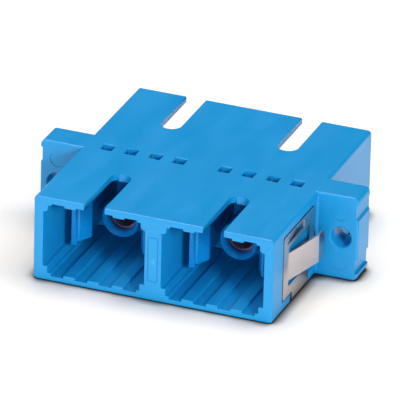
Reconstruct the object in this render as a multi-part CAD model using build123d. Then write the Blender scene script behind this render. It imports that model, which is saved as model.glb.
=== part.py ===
from build123d import *
import os

# Flanged duplex fibre adapter for 2.5 mm ferrule plugs, with a spring-steel panel clip.
# Frame: X across the two ports, Y through the adapter with the front ports facing -Y, Z up.
# The origin lies under the middle of the body, in the plane of its flat underside. Millimetres.

# Ports
port_width = 10.9
port_height = 7.5
post_width = 1.8
side_wall = 1.0
roof_wall = 0.85
floor_wall = 0.85
channel_count = 4
channel_pitch = 2.6
channel_width = 1.35
floor_channel_depth = 0.3
roof_channel_depth = 0.2
rail_width = 0.5
rail_height = 0.75
rail_chamfer = 0.3
key_slot_width = 2.2
key_slot_length = 8.1

# Body
body_length = 28.0
body_corner = 0.4
rim_chamfer = 0.15
seam_setback = 0.25
window_width = 1.25
window_length = 1.3
witness_width = 1.15
witness_height = 4.95
witness_corner = 0.25
witness_line = 0.12
witness_depth = 0.06

# Flange
flange_thickness = 3.4
hole_offset = 2.55
hole_radius = 1.1
ear_margin = 0.75
ear_corner = 0.6
ear_round = 0.25
ear_root_round = 0.2
lip_height = 0.8
notch_height = 1.7
notch_depth = 0.25
notch_slope = 0.3
hole_front_chamfer = 0.15
hole_back_chamfer = 0.4
ejector_radius = 0.9
ejector_offset = 2.75
ejector_inset = 0.1
ejector_depth = 0.06

# Latch holders
plate_thickness = 1.4
side_shoulder = 0.4
edge_shoulder = 0.2
plate_clearance = 0.05
plate_corner = 0.4
spigot_clearance = 0.05
barrel_length = 5.5
barrel_radius = 2.05
barrel_chamfer = 0.25
ferrule_hole_radius = 1.45
mouth_radius = 1.75
mouth_depth = 0.4
arm_length = 7.8
arm_gap = 3.7
arm_thickness = 0.6
arm_height = 5.3
arm_tip_round = 0.15
arm_root_round = 0.4
hook_height = 4.2
hook_nose = 0.28
hook_reach = 1.02
hook_ramp = 1.4
hook_flat = 0.35
hook_back = 0.55
core_clearance = 0.1

# Split sleeves
sleeve_bore_radius = 1.25
sleeve_wall = 0.35
sleeve_length = 11.4
sleeve_slit = 0.5
sleeve_clearance = 0.05
sleeve_end_play = 0.3

# Panel clip
clip_thickness = 0.25
clip_length = 8.54
clip_top_drop = 1.1
clip_flange_gap = 0.8
clip_edge_clearance = 0.12
clip_corner = 0.3
front_leg_width = 1.45
back_leg_width = 1.25
back_leg_end = 2.6
top_bar_height = 1.5
lower_bar_top = 2.2
foot_height = 1.2
strap_front_inset = 2.6
strap_back_inset = 1.35
strap_front_clearance = 0.55
tongue_height = 3.0
tongue_bottom = 2.9
tongue_rise = 1.3
tongue_run = 5.15
tongue_flat = 1.4
tongue_corner = 0.5
barb_inset = 1.1
barb_length = 4.5
barb_height = 0.75
barb_drop = 0.35
barb_dip = 0.45
barb_gap = 0.1

# Places worked out from the sizes above
port_pitch = port_width + post_width
body_width = 2 * port_width + post_width + 2 * side_wall
body_height = floor_wall + port_height + roof_wall
mid_height = body_height / 2
axis_height = floor_wall + port_height / 2
front_face = -body_length / 2
rear_face = body_length / 2
flange_front = -flange_thickness / 2
flange_back = flange_thickness / 2
seam = flange_back + seam_setback
hole_x = body_width / 2 + hole_offset
flange_half = hole_x + hole_radius + ear_margin
pocket_width = port_width + 2 * side_shoulder
pocket_height = port_height + 2 * edge_shoulder
sleeve_radius = sleeve_bore_radius + sleeve_wall
cavity_radius = sleeve_radius + sleeve_clearance
cavity_half_length = sleeve_length / 2 + sleeve_end_play
clip_back = flange_front - clip_flange_gap
clip_front = clip_back - clip_length
clip_top = body_height - clip_top_drop
strap_front = clip_front + strap_front_inset
strap_back = clip_back - strap_back_inset
barb_front = clip_front + barb_inset
barb_back = barb_front + barb_length
barb_high = clip_top - barb_drop
barb_low = barb_high - barb_height
ports = [-port_pitch / 2, port_pitch / 2]
beyond = 1.0


def along_y(section, front, back):
    """A section drawn in X and Z, carried from front to back."""
    return Pos(0, back, 0) * extrude(Plane.XZ * section, back - front, dir=(0, -1, 0))


def along_x(section, half_width):
    """A section drawn in Y and Z, carried across the body."""
    return extrude(Plane.YZ * section, half_width, both=True)


def rectangle(left, right, low, high):
    """A rectangle between four edges."""
    return Pos((left + right) / 2, (low + high) / 2) * Rectangle(right - left, high - low)


def body_section(inset, corner):
    """Outer section of the body, or of the metal's inner side where inset is its thickness."""
    outline = rectangle(-body_width / 2 + inset, body_width / 2 - inset, inset, body_height)
    return fillet(outline.vertices(), corner)


def channel_row(height, depth):
    """Channels side by side at one height of a port."""
    row = GridLocations(channel_pitch, 0, channel_count, 1)
    return [Pos(0, height) * place * Rectangle(channel_width, 2 * depth) for place in row]


def port_section():
    """The port about its own axis: channels in floor and roof, and a rail in each corner."""
    outline = Rectangle(port_width, port_height)
    outline += channel_row(-port_height / 2, floor_channel_depth)
    outline += channel_row(port_height / 2, roof_channel_depth)
    right = port_width / 2
    high = port_height / 2
    inner = right - rail_width
    upper = Polygon(
        (inner, high),
        (inner, high - rail_height + rail_chamfer),
        (inner + rail_chamfer, high - rail_height),
        (right, high - rail_height),
        (right, high),
        align=None,
    )
    lower = rectangle(inner, right, -high, rail_height - high)
    rails = upper + lower
    return outline - [rails, mirror(rails, Plane.YZ)]


def port_hollows(front, back):
    """Both ports, open from front to back."""
    section = port_section()
    return [Pos(x, 0, axis_height) * along_y(section, front, back) for x in ports]


def key_slots(end_face, inward):
    """A round-ended slot in the roof of each port, for the key on top of the plug."""
    radius = key_slot_width / 2
    centre = end_face + inward * (key_slot_length - radius)
    outer = end_face - inward * beyond
    straight = rectangle(-radius, radius, min(outer, centre), max(outer, centre))
    outline = straight + Pos(0, centre) * Circle(radius)
    low = body_height - roof_wall - roof_channel_depth - beyond
    return [Pos(x, 0, low) * extrude(outline, body_height - low + beyond) for x in ports]


def pockets():
    """The wider room behind the front ports that takes both latch holders' plates."""
    section = Rectangle(pocket_width, pocket_height)
    return [Pos(x, 0, axis_height) * along_y(section, -plate_thickness, seam + beyond) for x in ports]


def roof_windows():
    """Small windows in line with the channels, over the front plate of each port."""
    row = GridLocations(channel_pitch, 0, channel_count, 1)
    outline = [place * Rectangle(window_width, window_length) for place in row]
    low = body_height - roof_wall
    middle = -plate_thickness / 2
    return [Pos(x, middle, low) * extrude(Sketch() + outline, roof_wall + beyond) for x in ports]


def end_notches():
    """The shallow notches above and below the middle of each ear's end, seen from the front."""
    top = body_height / 2 - lip_height
    floor = flange_half - notch_depth
    notch = Polygon(
        (flange_half + beyond, top),
        (floor, top),
        (floor, top - notch_height + notch_slope),
        (flange_half, top - notch_height),
        (flange_half + beyond, top - notch_height),
        align=None,
    )
    notch += mirror(notch, Plane.XZ)
    return notch + mirror(notch, Plane.YZ)


def flange():
    """Both ears as one plate across the body, with rounded rims, notched ends and fixing holes."""
    outline = fillet(Rectangle(2 * flange_half, body_height).vertices(), ear_corner)
    plate = along_y(outline, flange_front, flange_back)
    rims = plate.faces().sort_by(Axis.Y)
    plate = fillet(rims[0].edges() + rims[-1].edges(), ear_round)
    plate -= along_y(end_notches(), flange_front - beyond, flange_back + beyond)
    hole = along_y(Circle(hole_radius), flange_front - beyond, flange_back + beyond)
    plate -= [Pos(-hole_x, 0, 0) * hole, Pos(hole_x, 0, 0) * hole]
    mouths = plate.edges().filter_by(GeomType.CIRCLE).filter_by(lambda edge: edge.radius == hole_radius)
    plate = chamfer(mouths.group_by(Axis.Y)[0], hole_front_chamfer)
    mouths = plate.edges().filter_by(GeomType.CIRCLE).filter_by(lambda edge: edge.radius == hole_radius)
    return Pos(0, 0, mid_height) * chamfer(mouths.group_by(Axis.Y)[-1], hole_back_chamfer)


def ear_root():
    """The upright concave round where the +X ear's front meets the flat side of the shroud."""
    filler = rectangle(-beyond, ear_root_round, -ear_root_round, beyond)
    filler -= Pos(ear_root_round, -ear_root_round) * Circle(ear_root_round)
    flat_height = body_height - 2 * body_corner
    return Pos(body_width / 2, flange_front, body_corner) * extrude(filler, flat_height)


def ejector_marks():
    """The round ejector marks on the front of each ear."""
    mark = Circle(ejector_radius)
    places = GridLocations(2 * (hole_x - ejector_inset), 2 * ejector_offset, 2, 2)
    marks = Sketch() + [place * mark for place in places]
    return Pos(0, 0, mid_height) * along_y(marks, flange_front - beyond, flange_front + ejector_depth)


def witness_mark():
    """The fine rounded outline that a mould insert leaves on the post between the front ports."""
    outline = RectangleRounded(witness_width, witness_height, witness_corner)
    line = outline - offset(outline, -witness_line)
    return Pos(0, 0, mid_height) * along_y(line, front_face - beyond, front_face + witness_depth)


def clip_recess():
    """The sunk track for the clip: a panel on each side, the strap's groove and the barbs' pits."""
    gap = clip_edge_clearance
    side = rectangle(clip_front - gap, flange_front - ear_root_round - gap, foot_height - gap, clip_top + gap)
    strap = rectangle(strap_front - strap_front_clearance, strap_back + gap, -beyond, clip_top)
    track = along_x(side + strap, body_width / 2 + beyond)
    core = along_y(body_section(clip_thickness, body_corner - clip_thickness), front_face, flange_front)
    pit = rectangle(barb_front - gap, barb_back + gap, barb_low - gap, barb_high + gap)
    core -= along_x(pit, body_width) - along_x(pit, body_width / 2 - clip_thickness - barb_dip - barb_gap)
    return track - core


def front_housing():
    """Front half: shroud, whole flange, and the pocket that holds the latch holders."""
    shroud = along_y(body_section(0, body_corner), front_face, seam)
    shroud = chamfer(shroud.faces().sort_by(Axis.Y)[0].edges(), rim_chamfer)
    housing = shroud + flange() + ear_root()
    housing += mirror(ear_root(), Plane.YZ)
    housing -= port_hollows(front_face - beyond, 0)
    housing -= pockets()
    housing -= key_slots(front_face, 1)
    housing -= roof_windows()
    housing -= [ejector_marks(), witness_mark(), clip_recess()]
    return housing


def rear_housing():
    """Rear half: a plain shroud, with a collar in each pocket that clamps the rear plate."""
    shroud = along_y(body_section(0, body_corner), seam, rear_face)
    shroud = chamfer(shroud.faces().sort_by(Axis.Y)[-1].edges(), rim_chamfer)
    collar_width = pocket_width - 2 * spigot_clearance
    collar = Rectangle(collar_width, pocket_height - 2 * spigot_clearance)
    shroud += [Pos(x, 0, axis_height) * along_y(collar, plate_thickness, seam + beyond) for x in ports]
    shroud -= port_hollows(plate_thickness - beyond, rear_face + beyond)
    shroud -= key_slots(rear_face, -1)
    return shroud


def hook_arm():
    """The latch arm on the +X side, as it stands on the plate's face, with its tip towards -Y."""
    tip = -arm_length
    beam_outline = rectangle(arm_gap, arm_gap + arm_thickness, tip, beyond / 2)
    beam = extrude(beam_outline, arm_height / 2, both=True)
    tip_edges = beam.faces().sort_by(Axis.Y)[0].edges().filter_by(Axis.X)
    beam = fillet(tip_edges, arm_tip_round)
    hook_outline = Polygon(
        (arm_gap + arm_thickness / 2, tip),
        (arm_gap - hook_nose, tip),
        (arm_gap - hook_reach, tip + hook_ramp),
        (arm_gap - hook_reach, tip + hook_ramp + hook_flat),
        (arm_gap, tip + hook_ramp + hook_flat + hook_back),
        (arm_gap + arm_thickness / 2, tip + hook_ramp + hook_flat + hook_back),
        align=None,
    )
    return beam + extrude(hook_outline, hook_height / 2, both=True)


def barrel_solid():
    """The sleeve's barrel, standing on the plate's face."""
    barrel = along_y(Circle(barrel_radius), -barrel_length, beyond / 2)
    return chamfer(barrel.faces().sort_by(Axis.Y)[0].edges(), barrel_chamfer)


def latch_holder():
    """One half of a port's insides: plate, barrel and two hook arms, with its back at the mid-plane."""
    plate_width = pocket_width - 2 * plate_clearance
    plate_height = pocket_height - 2 * plate_clearance
    outline = chamfer(Rectangle(plate_width, plate_height).vertices(), plate_corner)
    holder = along_y(outline, -plate_thickness, 0)
    arm = hook_arm()
    face = Pos(0, -plate_thickness, 0)
    holder += [face * barrel_solid(), face * arm, face * mirror(arm, Plane.YZ)]
    roots = holder.edges().filter_by(Axis.Z).filter_by(is_arm_root)
    holder = fillet(roots, arm_root_round)
    holder -= along_y(Circle(ferrule_hole_radius), -plate_thickness - barrel_length - beyond, 0)
    mouth = Cone(ferrule_hole_radius, mouth_radius, mouth_depth, rotation=(90, 0, 0))
    holder -= Pos(0, -plate_thickness - barrel_length + mouth_depth / 2, 0) * mouth
    holder -= along_y(Circle(cavity_radius), -cavity_half_length, beyond)
    half_height = hook_height / 2 + core_clearance
    opening = rectangle(arm_gap - hook_reach - core_clearance, arm_gap, -half_height, half_height)
    core = along_y(opening, -plate_thickness - beyond, beyond)
    return holder - [core, mirror(core, Plane.YZ)]


def is_arm_root(edge):
    """True for the upright corners where an arm meets the plate's face."""
    centre = edge.center()
    reach = abs(centre.X)
    on_arm = min(abs(reach - arm_gap), abs(reach - arm_gap - arm_thickness)) < arm_tip_round
    return on_arm and abs(centre.Y + plate_thickness) < arm_tip_round


def split_sleeve():
    """A thin tube, slit along its top so that it grips the two ferrules."""
    ring = Circle(sleeve_radius) - Circle(sleeve_bore_radius)
    ring -= rectangle(-sleeve_slit / 2, sleeve_slit / 2, 0, sleeve_radius + beyond)
    return along_y(ring, -sleeve_length / 2, sleeve_length / 2)


def clip_outline():
    """Side view of the clip: the frame of each cheek, and the strap below it."""
    cheek = rectangle(clip_front, clip_back, foot_height, clip_top)
    window_front = clip_front + front_leg_width
    window_back = clip_back - back_leg_width
    cheek = fillet(cheek.vertices(), clip_corner)
    window = rectangle(window_front, window_back, lower_bar_top, clip_top - top_bar_height)
    open_end = rectangle(strap_back, clip_back + beyond, 0, back_leg_end)
    strap = rectangle(strap_front, strap_back, -beyond, foot_height + clip_corner)
    slot = rectangle(barb_front, barb_back, barb_low, barb_high)
    return cheek - fillet(window.vertices(), clip_corner) - open_end + strap - slot


def tongue():
    """The spring tongue of the +X cheek, bent outwards out of the window, as one folded strip."""
    outer = body_width / 2
    root = clip_front + front_leg_width
    knee = root + tongue_run
    path = Polyline(
        (outer - clip_thickness, root - clip_corner),
        (outer - clip_thickness, root),
        (outer - clip_thickness + tongue_rise, knee),
        (outer - clip_thickness + tongue_rise, knee + tongue_flat),
    )
    strip = make_face(offset(path, clip_thickness, side=Side.RIGHT).edges())
    blade = Pos(0, 0, tongue_bottom) * extrude(strip, tongue_height, dir=(0, 0, 1))
    ends = blade.edges().filter_by(Axis.X).group_by(Axis.Y)[-1]
    return fillet(ends, tongue_corner)


def barb():
    """The small lanced barb of the +X cheek, which dips into the body and keeps the clip in."""
    outer = body_width / 2
    tip = barb_back - barb_gap
    outline = Polygon(
        (outer, barb_front - barb_gap),
        (outer, barb_front),
        (outer - barb_dip, tip),
        (outer - barb_dip - clip_thickness, tip),
        (outer - clip_thickness, barb_front),
        (outer - clip_thickness, barb_front - barb_gap),
        align=None,
    )
    return Pos(0, 0, barb_low + barb_gap) * extrude(outline, barb_height - 2 * barb_gap, dir=(0, 0, 1))


def panel_clip():
    """One folded strip of spring steel: two cheeks and a strap that runs under the body."""
    band = body_section(0, body_corner) - body_section(clip_thickness, body_corner - clip_thickness)
    clip = along_y(band, clip_front, clip_back) & along_x(clip_outline(), body_width)
    for side in (tongue(), barb()):
        clip += [side, mirror(side, Plane.YZ)]
    return clip


def placed(piece, x, turn):
    """A piece of one port at its place, turned about the vertical where it serves the rear."""
    return Pos(x, 0, axis_height) * Rot(0, 0, turn) * piece


def build():
    """Every piece of the adapter under its own name."""
    holder = latch_holder()
    sleeve = split_sleeve()
    pieces = {
        "front_housing": front_housing(),
        "rear_housing": rear_housing(),
        "panel_clip": panel_clip(),
    }
    for side, x in zip(("left", "right"), ports):
        pieces["front_" + side + "_latch_holder"] = placed(holder, x, 0)
        pieces["rear_" + side + "_latch_holder"] = placed(holder, x, 180)
        pieces[side + "_split_sleeve"] = placed(sleeve, x, 0)
    return pieces


os.makedirs("parts", exist_ok=True)
for name, piece in build().items():
    export_step(piece, "parts/" + name + ".step")
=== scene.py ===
import math

import bmesh
import bpy
from mathutils import Matrix, Vector


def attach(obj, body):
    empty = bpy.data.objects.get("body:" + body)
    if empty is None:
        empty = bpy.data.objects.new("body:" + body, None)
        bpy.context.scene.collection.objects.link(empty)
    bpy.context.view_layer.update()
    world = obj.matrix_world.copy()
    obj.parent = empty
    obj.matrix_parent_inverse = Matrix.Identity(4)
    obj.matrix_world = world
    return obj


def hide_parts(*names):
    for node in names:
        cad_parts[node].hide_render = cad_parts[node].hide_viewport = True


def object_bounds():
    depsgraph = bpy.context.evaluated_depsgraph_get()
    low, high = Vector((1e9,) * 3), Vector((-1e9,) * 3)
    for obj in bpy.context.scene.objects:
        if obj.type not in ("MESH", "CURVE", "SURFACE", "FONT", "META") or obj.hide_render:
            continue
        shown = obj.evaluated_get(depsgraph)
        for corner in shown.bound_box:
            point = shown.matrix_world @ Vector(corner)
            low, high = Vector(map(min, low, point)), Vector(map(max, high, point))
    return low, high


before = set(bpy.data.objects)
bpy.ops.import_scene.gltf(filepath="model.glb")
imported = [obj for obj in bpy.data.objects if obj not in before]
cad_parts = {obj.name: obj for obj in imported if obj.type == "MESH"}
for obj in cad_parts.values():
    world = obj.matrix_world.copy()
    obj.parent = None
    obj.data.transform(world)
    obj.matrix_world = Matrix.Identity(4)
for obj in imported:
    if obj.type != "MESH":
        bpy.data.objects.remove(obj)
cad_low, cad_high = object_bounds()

# A flanged duplex fibre adapter: blue moulded housings, sprung latch holders, bronze sleeves and a
# spring-steel panel clip. Blender works in metres; every length named below is in millimetres,
# every angle in degrees, and MM turns millimetres into metres.

MM = 0.001

# Base colours, and the roughness of the plastics
HOUSING_BLUE = (0.006, 0.270, 0.605)
# The holders are the housings' plastic; their darker blue is painted shade, the shade of the ports
# they sit in
HOLDER_BLUE = (0.003, 0.220, 0.57)
# The numeral is the housings' plastic too; its lighter blue is a painted highlight, the light its
# raised strokes catch
NUMERAL_BLUE = (0.05, 0.36, 0.68)
STEEL = (0.58, 0.525, 0.53)
# The sleeves' bronze is tinted blue: painted reflection of the blue housing around them in the
# barrels
BRONZE_WITH_PAINTED_REFLECTION = (0.46, 0.37, 0.54)
FLOOR_WHITE = (0.965, 0.935, 0.91)
# The sheet's colour in its wide band of painted shade around the adapter
FLOOR_PAINTED_SHADE = (0.87, 0.825, 0.755)
HOUSING_ROUGHNESS = 0.34
HOLDER_ROUGHNESS = 0.28
NUMERAL_ROUGHNESS = 0.40

# Edge rounding: which edges take it, and shares of a face's room and of the full width
SHARP_ANGLE = 24.0
CHAMFER_ANGLE = 50.0
CHAMFER_REACH = 0.3
ROOM_SHARE = 0.42
LEAST_SHARE = 0.45
RUN_ON_ANGLE = 140.0
LEAST_ROOM = 0.002
HOUSING_EDGE = 0.08
HOLDER_EDGE = 0.07
CLIP_EDGE = 0.05
SLEEVE_EDGE = 0.04

# Mesh cleaning: points closer than this are one point, and faces this near to a plane are one face
WELD_DISTANCE = 0.0005
FLAT_ANGLE = 1.0

# The mould's numeral on the post between the ports
NUMERAL_HEIGHT = 1.05
NUMERAL_LEVEL = 4.3
NUMERAL_RELIEF = 0.004

# The sheet: half its width in metres, and how far around the adapter its two bands of painted
# shade reach
SHEET_HALF_WIDTH = 2.0
CONTACT_REACH = 1.6
WIDE_REACH = 9.0
SHADE_SAMPLES = 16

# Lamps: name, azimuth, elevation, width, height and power in watts
LAMP_DISTANCE = 480.0
ADAPTER_LAMPS = (
    ("key_box", 48.0, 24.0, 90.0, 90.0, 1.25),
    ("front_card", 15.0, 8.0, 420.0, 140.0, 0.78),
    ("right_box", 95.0, 30.0, 300.0, 300.0, 0.05),
    ("left_box", -50.0, 25.0, 300.0, 300.0, 0.5),
    ("back_box", 222.0, 68.0, 300.0, 300.0, 1.45),
)
SHEET_LAMPS = (
    ("sheet_box", 180.0, 89.0, 320.0, 320.0, 1.1),
    ("sheet_back_box", 188.0, 73.0, 240.0, 240.0, 0.5),
    ("sheet_side_box", 110.0, 55.0, 240.0, 240.0, 0.6),
)
UNMIRRORED_LAMPS = ("key_box", "front_card")

# The room: its tint, its full strength, and the elevation of its bright side
ROOM_TINT = (0.97, 0.98, 1.0)
ROOM_STRENGTH = 0.48
ROOM_ELEVATION = 60.0


# Shader nodes

def new_group(name, inputs, outputs):
    """An empty node group with its sockets, and its input and output nodes."""
    group = bpy.data.node_groups.new(name, "ShaderNodeTree")
    for label, kind, value in inputs:
        socket = group.interface.new_socket(name=label, in_out="INPUT", socket_type=kind)
        socket.default_value = value
    for label, kind in outputs:
        group.interface.new_socket(name=label, in_out="OUTPUT", socket_type=kind)
    entry = group.nodes.new("NodeGroupInput")
    leave = group.nodes.new("NodeGroupOutput")
    return group, entry, leave


def noise(tree, scale, detail, stretch=(1.0, 1.0, 1.0)):
    """A noise on the piece's own coordinates; scale counts its cells in a metre."""
    place = tree.nodes.new("ShaderNodeTexCoord")
    spread = tree.nodes.new("ShaderNodeMapping")
    spread.inputs["Scale"].default_value = stretch
    texture = tree.nodes.new("ShaderNodeTexNoise")
    texture.inputs["Scale"].default_value = scale
    texture.inputs["Detail"].default_value = detail
    tree.links.new(place.outputs["Object"], spread.inputs["Vector"])
    tree.links.new(spread.outputs["Vector"], texture.inputs["Vector"])
    return texture.outputs["Fac"]


def remap(tree, source, low, high, start=0.3, stop=0.7):
    """The source value, carried from the span start to stop to the span low to high."""
    node = tree.nodes.new("ShaderNodeMapRange")
    node.inputs["From Min"].default_value = start
    node.inputs["From Max"].default_value = stop
    node.inputs["To Min"].default_value = low
    node.inputs["To Max"].default_value = high
    tree.links.new(source, node.inputs["Value"])
    return node.outputs["Result"]


def scaled(tree, colour, factor):
    """A colour socket times a value socket."""
    node = tree.nodes.new("ShaderNodeVectorMath")
    node.operation = "SCALE"
    tree.links.new(colour, node.inputs[0])
    tree.links.new(factor, node.inputs["Scale"])
    return node.outputs["Vector"]


def open_space(tree, reach):
    """How much of the space within reach of a point is open, from none to one."""
    node = tree.nodes.new("ShaderNodeAmbientOcclusion")
    node.samples = SHADE_SAMPLES
    node.inputs["Distance"].default_value = reach * MM
    return node.outputs["AO"]


def moulded_skin_group():
    """The skin of a moulded plastic: slow drift of colour, flow marks, and a fine eroded grain."""
    group, entry, leave = new_group(
        "moulded_skin",
        [("Colour", "NodeSocketColor", (0.5, 0.5, 0.5, 1.0)),
         ("Roughness", "NodeSocketFloat", 0.35)],
        [("Colour", "NodeSocketColor"), ("Roughness", "NodeSocketFloat"),
         ("Height", "NodeSocketFloat")],
    )
    drift = noise(group, scale=160.0, detail=3.0)
    flow = noise(group, scale=420.0, detail=2.0, stretch=(1.0, 0.3, 1.0))
    grain = noise(group, scale=9000.0, detail=4.0)
    shade = scaled(group, entry.outputs["Colour"], remap(group, drift, low=0.975, high=1.025))
    shade = scaled(group, shade, remap(group, flow, low=0.98, high=1.02))
    group.links.new(shade, leave.inputs["Colour"])
    rub = group.nodes.new("ShaderNodeMath")
    rub.operation = "ADD"
    group.links.new(remap(group, flow, low=-0.05, high=0.05), rub.inputs[0])
    group.links.new(entry.outputs["Roughness"], rub.inputs[1])
    group.links.new(rub.outputs[0], leave.inputs["Roughness"])
    group.links.new(grain, leave.inputs["Height"])
    return group


def new_material(name):
    """A material with its node tree and shader."""
    material = bpy.data.materials.new(name)
    material.use_nodes = True
    return material, material.node_tree, material.node_tree.nodes["Principled BSDF"]


def bump(tree, shader, height, strength, relief):
    """Relief of the given depth on the shader's normal."""
    node = tree.nodes.new("ShaderNodeBump")
    node.inputs["Strength"].default_value = strength
    node.inputs["Distance"].default_value = relief * MM
    tree.links.new(height, node.inputs["Height"])
    tree.links.new(node.outputs["Normal"], shader.inputs["Normal"])


def moulded_blue(name, colour, roughness, skin_group):
    """Blue moulded plastic."""
    material, tree, shader = new_material(name)
    skin = tree.nodes.new("ShaderNodeGroup")
    skin.node_tree = skin_group
    skin.inputs["Colour"].default_value = (*colour, 1.0)
    skin.inputs["Roughness"].default_value = roughness
    tree.links.new(skin.outputs["Colour"], shader.inputs["Base Color"])
    tree.links.new(skin.outputs["Roughness"], shader.inputs["Roughness"])
    bump(tree, shader, skin.outputs["Height"], strength=0.2, relief=0.008)
    shader.inputs["IOR"].default_value = 1.5
    return material


def drawn_metal(name, colour, stretch, tones, roughness, relief):
    """A rolled or drawn metal with fine lines along its working direction."""
    material, tree, shader = new_material(name)
    lines = noise(tree, scale=1.0, detail=4.0, stretch=stretch)
    tint = tree.nodes.new("ShaderNodeRGB")
    tint.outputs[0].default_value = (*colour, 1.0)
    shade = scaled(tree, tint.outputs[0], remap(tree, lines, *tones))
    tree.links.new(shade, shader.inputs["Base Color"])
    tree.links.new(remap(tree, lines, *roughness), shader.inputs["Roughness"])
    bump(tree, shader, lines, strength=0.15, relief=relief)
    shader.inputs["Metallic"].default_value = 1.0
    return material


# Pieces

def placed(name, data):
    """A new object in the scene."""
    item = bpy.data.objects.new(name, data)
    bpy.context.scene.collection.objects.link(item)
    return item


def continues(edge, other):
    """True where another edge carries this one on, as the chords of an arc do."""
    shared = set(edge.verts) & set(other.verts)
    if not shared:
        return False
    corner = shared.pop()
    ahead = edge.other_vert(corner).co - corner.co
    behind = other.other_vert(corner).co - corner.co
    return ahead.angle(behind) > math.radians(RUN_ON_ANGLE)


def room_beside(edge):
    """How far the faces beside an edge reach before they meet something else."""
    start = edge.verts[0].co
    along = (edge.verts[1].co - start).normalized()
    room = math.inf
    for face in edge.link_faces:
        carried = set(edge.verts)
        for other in face.edges:
            if other is not edge and continues(edge, other):
                carried.update(other.verts)
        for vertex in face.verts:
            if vertex not in carried:
                offset = vertex.co - start
                away = (offset - along * offset.dot(along)).length
                if away > LEAST_ROOM * MM:
                    room = min(room, away)
    return room


def chain_of(edge, candidates, taken):
    """The run of candidate edges that carry each other on, so that they get one width."""
    chain, waiting = [], [edge]
    taken.add(edge)
    while waiting:
        current = waiting.pop()
        chain.append(current)
        for corner in current.verts:
            for other in corner.link_edges:
                if other in candidates and other not in taken and continues(current, other):
                    taken.add(other)
                    waiting.append(other)
    return chain


def weigh_edges(shape, width):
    """One bevel width along each run of sharp edges; a run without room stays crisp instead."""
    weight = shape.edges.layers.float.new("bevel_weight_edge")
    candidates = {}
    for edge in shape.edges:
        if len(edge.link_faces) == 2:
            angle, room = edge.calc_face_angle(), room_beside(edge)
            narrow_chamfer = angle < math.radians(CHAMFER_ANGLE) and room < CHAMFER_REACH * MM
            if angle > math.radians(SHARP_ANGLE) and not narrow_chamfer:
                candidates[edge] = room
    taken = set()
    for edge in candidates:
        if edge not in taken:
            chain = chain_of(edge, candidates, taken)
            share = min(1.0, ROOM_SHARE * min(candidates[link] for link in chain) / width)
            for link in chain:
                link.smooth = share >= LEAST_SHARE
                link[weight] = share if link.smooth else 0.0


def softened(node, name, edge, segments, material):
    """A copy of a CAD node with whole flat faces, and with its sharp edges rounded."""
    width = edge * MM
    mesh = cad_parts[node].data.copy()
    mesh.name = name
    shape = bmesh.new()
    shape.from_mesh(mesh)
    bmesh.ops.remove_doubles(shape, verts=shape.verts, dist=WELD_DISTANCE * MM)
    bmesh.ops.dissolve_limit(shape, angle_limit=math.radians(FLAT_ANGLE), verts=shape.verts,
                             edges=shape.edges, use_dissolve_boundaries=False)
    bmesh.ops.recalc_face_normals(shape, faces=shape.faces)
    weigh_edges(shape, width)
    for face in shape.faces:
        face.smooth = True
    shape.to_mesh(mesh)
    shape.free()
    piece = placed(name, mesh)
    mesh.materials.clear()
    mesh.materials.append(material)
    rounding = piece.modifiers.new("rounding", "BEVEL")
    rounding.width = width
    rounding.segments = segments
    rounding.limit_method = "WEIGHT"
    rounding.miter_outer = "MITER_ARC"
    rounding.use_clamp_overlap = False
    shading = piece.modifiers.new("even_shading", "WEIGHTED_NORMAL")
    shading.mode = "FACE_AREA"
    shading.weight = 100
    shading.keep_sharp = True
    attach(piece, "root")
    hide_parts(node)


def numeral(text, name, place, material):
    """A mould cavity's plain numeral, just proud of an upright face that looks to the front."""
    curve = bpy.data.curves.new(name, "FONT")
    curve.body = text
    curve.size = NUMERAL_HEIGHT * MM
    curve.align_x = "CENTER"
    curve.align_y = "CENTER"
    curve.extrude = NUMERAL_RELIEF * MM
    curve.resolution_u = 6
    drawn = bpy.data.objects.new(name + "_text", curve)
    mesh = bpy.data.meshes.new_from_object(drawn)
    bpy.data.objects.remove(drawn)
    mesh.name = name
    shape = bmesh.new()
    shape.from_mesh(mesh)
    bmesh.ops.remove_doubles(shape, verts=shape.verts, dist=WELD_DISTANCE * MM)
    bmesh.ops.recalc_face_normals(shape, faces=shape.faces)
    upright = Matrix.Rotation(math.radians(90.0), 4, "X")
    bmesh.ops.transform(shape, matrix=Matrix.Translation(place) @ upright, verts=shape.verts)
    shape.to_mesh(mesh)
    shape.free()
    mesh.materials.clear()
    mesh.materials.append(material)
    piece = placed(name, mesh)
    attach(piece, "root")


plastic_skin = moulded_skin_group()
housing_blue = moulded_blue("housing_blue", HOUSING_BLUE, HOUSING_ROUGHNESS, plastic_skin)
# The holders' darker blue is painted shade of the ports
holder_blue = moulded_blue("holder_blue", HOLDER_BLUE, HOLDER_ROUGHNESS, plastic_skin)
# The numeral's lighter blue is a painted highlight
numeral_blue = moulded_blue("numeral_blue", NUMERAL_BLUE, NUMERAL_ROUGHNESS, plastic_skin)
steel = drawn_metal("spring_steel", STEEL, stretch=(5000.0, 400.0, 5000.0), tones=(0.98, 1.02),
                    roughness=(0.27, 0.33), relief=0.0006)
# Bronze whose colour carries a painted reflection of the blue housing
bronze_painted_reflection = drawn_metal("sleeve_bronze_painted_reflection", BRONZE_WITH_PAINTED_REFLECTION, stretch=(6000.0, 500.0, 6000.0),
                     tones=(0.92, 1.08), roughness=(0.46, 0.56), relief=0.002)

softened("front_housing", "front_shroud", HOUSING_EDGE, 3, housing_blue)
softened("rear_housing", "rear_shroud", HOUSING_EDGE, 3, housing_blue)
for end in ("front", "rear"):
    for side in ("left", "right"):
        softened(f"{end}_{side}_latch_holder", f"{end}_{side}_holder", HOLDER_EDGE, 2,
                 holder_blue)
softened("panel_clip", "folded_clip", CLIP_EDGE, 2, steel)
for side in ("left", "right"):
    softened(f"{side}_split_sleeve", f"{side}_sleeve", SLEEVE_EDGE, 2, bronze_painted_reflection)
post_front = cad_low[1]
numeral("4", "cavity_numeral", Vector((0.0, post_front, NUMERAL_LEVEL * MM)), numeral_blue)


# Floor, light and camera

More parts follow.
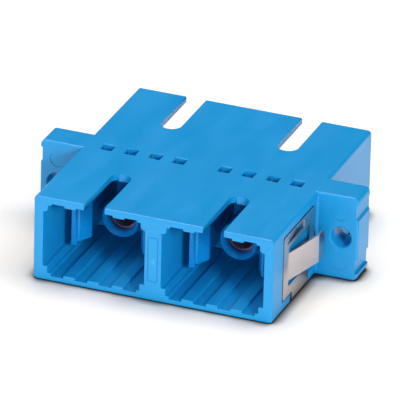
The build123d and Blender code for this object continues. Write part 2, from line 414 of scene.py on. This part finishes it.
def floor():
    """The plain pale sheet, with painted shade: its colour darkens in a narrow and a wide band
    where the adapter closes it in.
    """
    mesh = bpy.data.meshes.new("sheet")
    shape = bmesh.new()
    bmesh.ops.create_grid(shape, x_segments=1, y_segments=1, size=SHEET_HALF_WIDTH)
    shape.to_mesh(mesh)
    shape.free()
    sheet = placed("sheet", mesh)
    material, tree, shader = new_material("sheet_white_painted_shade")
    # Painted shade: the sheet's colour darkens by how closed in it is, in a dark contact band and
    # a pale wide band
    contact = open_space(tree, CONTACT_REACH)
    wide = open_space(tree, WIDE_REACH)
    paper_and_painted_shade = tree.nodes.new("ShaderNodeMix")
    paper_and_painted_shade.data_type = "RGBA"
    paper_and_painted_shade.inputs["A"].default_value = (*FLOOR_PAINTED_SHADE, 1.0)
    paper_and_painted_shade.inputs["B"].default_value = (*FLOOR_WHITE, 1.0)
    painted_wide_shade = remap(tree, wide, low=0.0, high=1.0, start=0.5, stop=0.97)
    tree.links.new(painted_wide_shade, paper_and_painted_shade.inputs["Factor"])
    painted_contact_shadow = remap(tree, contact, low=0.07, high=1.0, start=0.46, stop=0.90)
    colour = scaled(tree, paper_and_painted_shade.outputs["Result"], painted_contact_shadow)
    tree.links.new(colour, shader.inputs["Base Color"])
    shader.inputs["Roughness"].default_value = 0.9
    shader.inputs["Specular IOR Level"].default_value = 0.0
    mesh.materials.append(material)
    return sheet


def direction(azimuth, elevation):
    """The unit vector towards a place; azimuth 0 is straight in front and grows to the right."""
    across, up = math.radians(azimuth), math.radians(elevation)
    level = math.cos(up)
    return Vector((math.sin(across) * level, -math.cos(across) * level, math.sin(up)))


def soft_box(name, azimuth, elevation, width, height, power):
    """A soft box that looks at the adapter from the given direction."""
    data = bpy.data.lights.new(name, "AREA")
    data.shape = "RECTANGLE"
    data.size = width * MM
    data.size_y = height * MM
    data.energy = power
    lamp = placed(name, data)
    towards = direction(azimuth, elevation)
    lamp.location = towards * LAMP_DISTANCE * MM
    lamp.rotation_mode = "QUATERNION"
    lamp.rotation_quaternion = towards.to_track_quat("Z", "Y")
    # From the far side the whole roof would mirror a lamp that stands low in front
    lamp.visible_glossy = name not in UNMIRRORED_LAMPS
    return lamp


def link_light(lamp, sheet, state):
    """Lets a lamp light the sheet alone (INCLUDE), or everything but the sheet (EXCLUDE)."""
    receivers = bpy.data.collections.new(lamp.name + "_receivers")
    receivers.objects.link(sheet)
    receivers.collection_objects[0].light_linking.link_state = state
    lamp.light_linking.receiver_collection = receivers


def camera():
    """A long lens at the photograph's angle, with its small roll."""
    azimuth, elevation, roll = 20.687, 25.83, math.radians(1.479)
    distance, pixels_per_radian, frame_pixels = 755.88, 7487.532, 400.0
    middle, middle_pixel = Vector((0.0, 0.0, 4.6)), (203.787, 203.584)
    back = direction(azimuth, elevation)
    level = (-back).cross(Vector((0.0, 0.0, 1.0))).normalized()
    upright = level.cross(-back)
    right = level * math.cos(roll) + upright * math.sin(roll)
    up = upright * math.cos(roll) - level * math.sin(roll)
    pixel = distance / pixels_per_radian
    right_shift = (frame_pixels / 2 - middle_pixel[0]) * pixel
    up_shift = (middle_pixel[1] - frame_pixels / 2) * pixel
    place = middle + back * distance + right * right_shift + up * up_shift
    data = bpy.data.cameras.new("camera")
    data.sensor_width = 36.0
    data.lens = data.sensor_width * pixels_per_radian / frame_pixels
    data.clip_start = 0.01
    data.clip_end = 20.0
    eye = placed("camera", data)
    turn = Matrix((right, up, back)).transposed()
    eye.matrix_world = Matrix.Translation(place * MM) @ turn.to_4x4()
    bpy.context.scene.camera = eye


def room():
    """A room that is bright in front and above, and dark behind."""
    world = bpy.data.worlds.new("room")
    world.use_nodes = True
    tree = world.node_tree
    place = tree.nodes.new("ShaderNodeTexCoord")
    facing = tree.nodes.new("ShaderNodeVectorMath")
    facing.operation = "DOT_PRODUCT"
    facing.inputs[1].default_value = direction(0.0, ROOM_ELEVATION)
    tree.links.new(place.outputs["Generated"], facing.inputs[0])
    background = tree.nodes["Background"]
    background.inputs["Color"].default_value = (*ROOM_TINT, 1.0)
    strength = remap(tree, facing.outputs["Value"], low=0.0, high=ROOM_STRENGTH, start=0.0)
    tree.links.new(strength, background.inputs["Strength"])
    bpy.context.scene.world = world


sheet = floor()
camera()
for lamps, state in ((ADAPTER_LAMPS, "EXCLUDE"), (SHEET_LAMPS, "INCLUDE")):
    for lamp in lamps:
        link_light(soft_box(*lamp), sheet, state)
room()
bpy.context.scene.view_settings.view_transform = "Standard"
